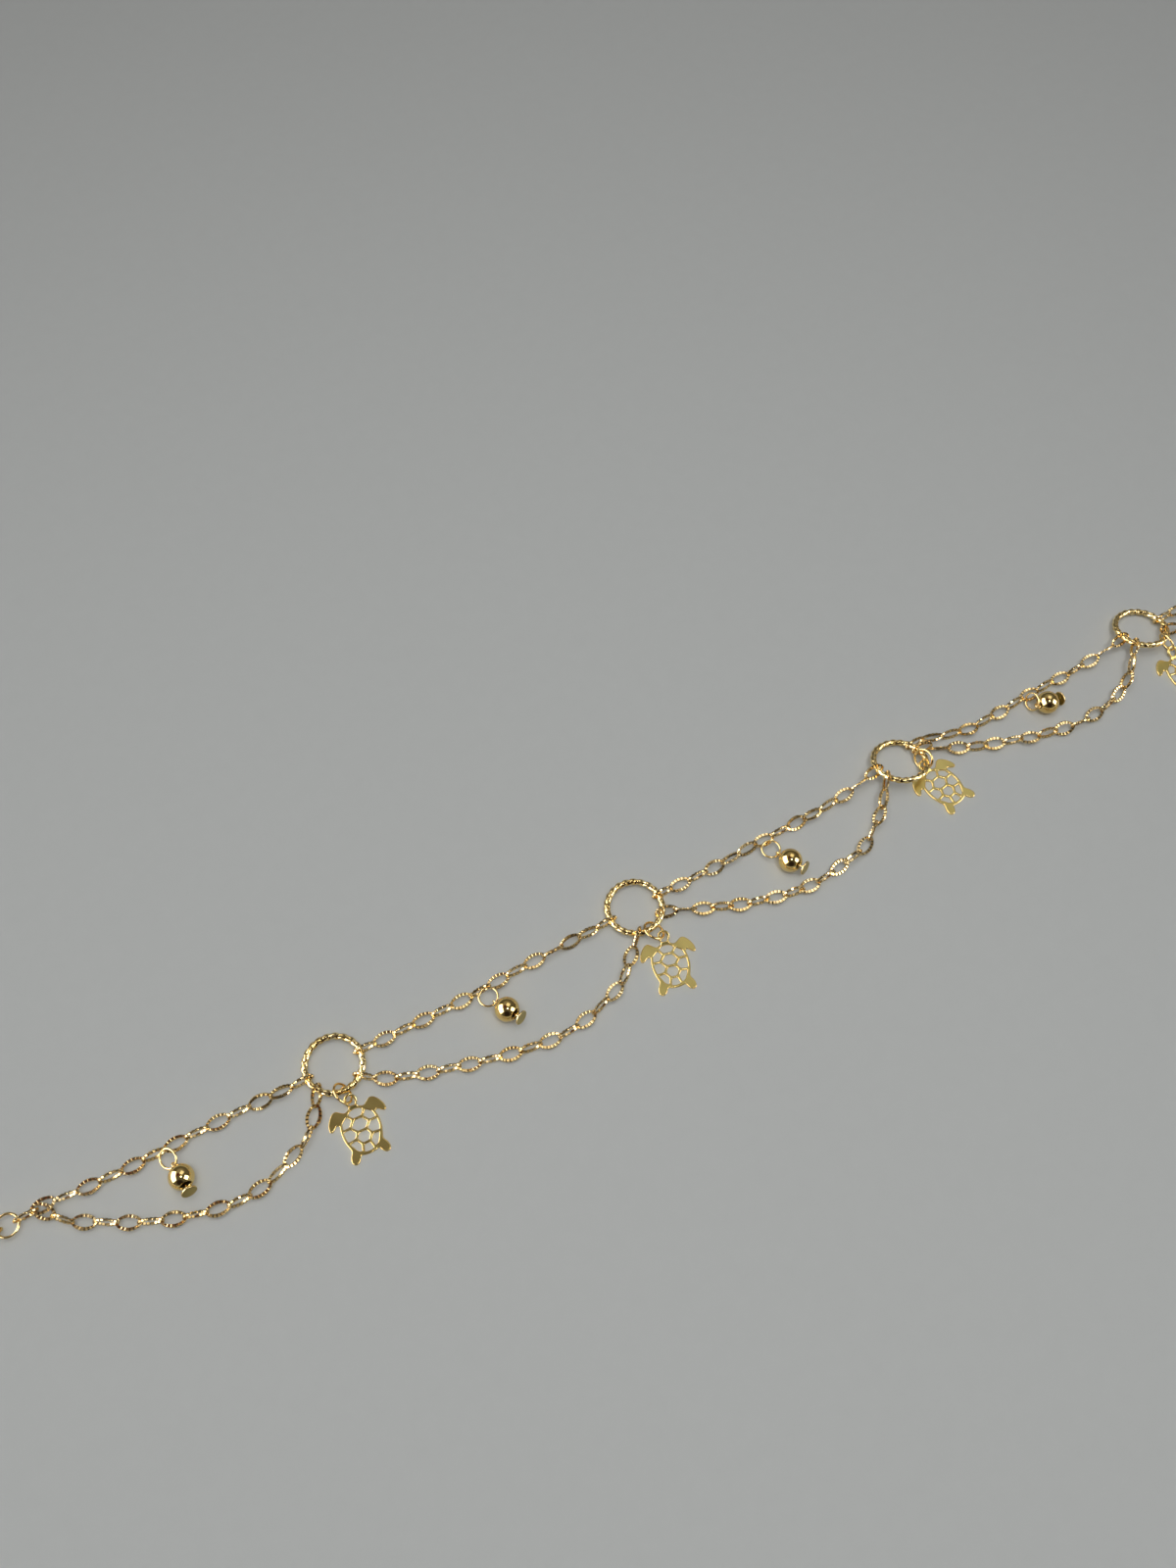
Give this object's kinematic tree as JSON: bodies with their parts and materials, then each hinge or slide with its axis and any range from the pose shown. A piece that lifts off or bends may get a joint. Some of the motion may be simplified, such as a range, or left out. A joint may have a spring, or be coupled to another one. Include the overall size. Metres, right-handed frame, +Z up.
{
  "type": "charm anklet",
  "caption": "Gold anklet laid open: swags of fine diamond-cut link chain between twisted rings, with flat pierced sea turtles and polished balls hung on jump rings.",
  "frame": {"origin": "middle of the anklet's footprint on the surface that it lies on", "axes": "+X along the anklet from the clasp to the far jump ring, +Z up from the surface, turtles towards -Y"},
  "size_m": [0.2498, 0.0198, 0.0039],
  "materials": {
    "diamond_cut_gold": "diamond-cut facets, mirror bright",
    "chain_gold": "polished, with cut grooves on each link",
    "wire_gold": "bright drawn wire",
    "polished_gold": "mirror polish",
    "satin_gold": "satin stamped face with bright edges"
  },
  "bodies": {
    "root": {"twist_ring_1": "diamond_cut_gold", "twist_ring_2": "diamond_cut_gold", "twist_ring_3": "diamond_cut_gold", "twist_ring_4": "diamond_cut_gold", "bead_1": "polished_gold", "head_pin_1": "wire_gold", "bead_jump_ring_1": "wire_gold", "bead_2": "polished_gold", "head_pin_2": "wire_gold", "bead_jump_ring_2": "wire_gold", "bead_3": "polished_gold", "head_pin_3": "wire_gold", "bead_jump_ring_3": "wire_gold", "bead_4": "polished_gold", "head_pin_4": "wire_gold", "bead_jump_ring_4": "wire_gold", "bead_5": "polished_gold", "head_pin_5": "wire_gold", "bead_jump_ring_5": "wire_gold", "turtle_1": "satin_gold", "turtle_jump_ring_1": "wire_gold", "turtle_2": "satin_gold", "turtle_jump_ring_2": "wire_gold", "turtle_3": "satin_gold", "turtle_jump_ring_3": "wire_gold", "turtle_4": "satin_gold", "turtle_jump_ring_4": "wire_gold", "chain_upper_1": "chain_gold", "chain_upper_2": "chain_gold", "chain_upper_3": "chain_gold", "chain_upper_4": "chain_gold", "chain_upper_5": "chain_gold", "chain_lower_1": "chain_gold", "chain_lower_2": "chain_gold", "chain_lower_3": "chain_gold", "chain_lower_4": "chain_gold", "chain_lower_5": "chain_gold", "end_link_1": "chain_gold", "end_jump_ring_1": "wire_gold", "end_link_2": "chain_gold", "end_jump_ring_2": "wire_gold", "clasp": "polished_gold"}
  },
  "joints": []
}
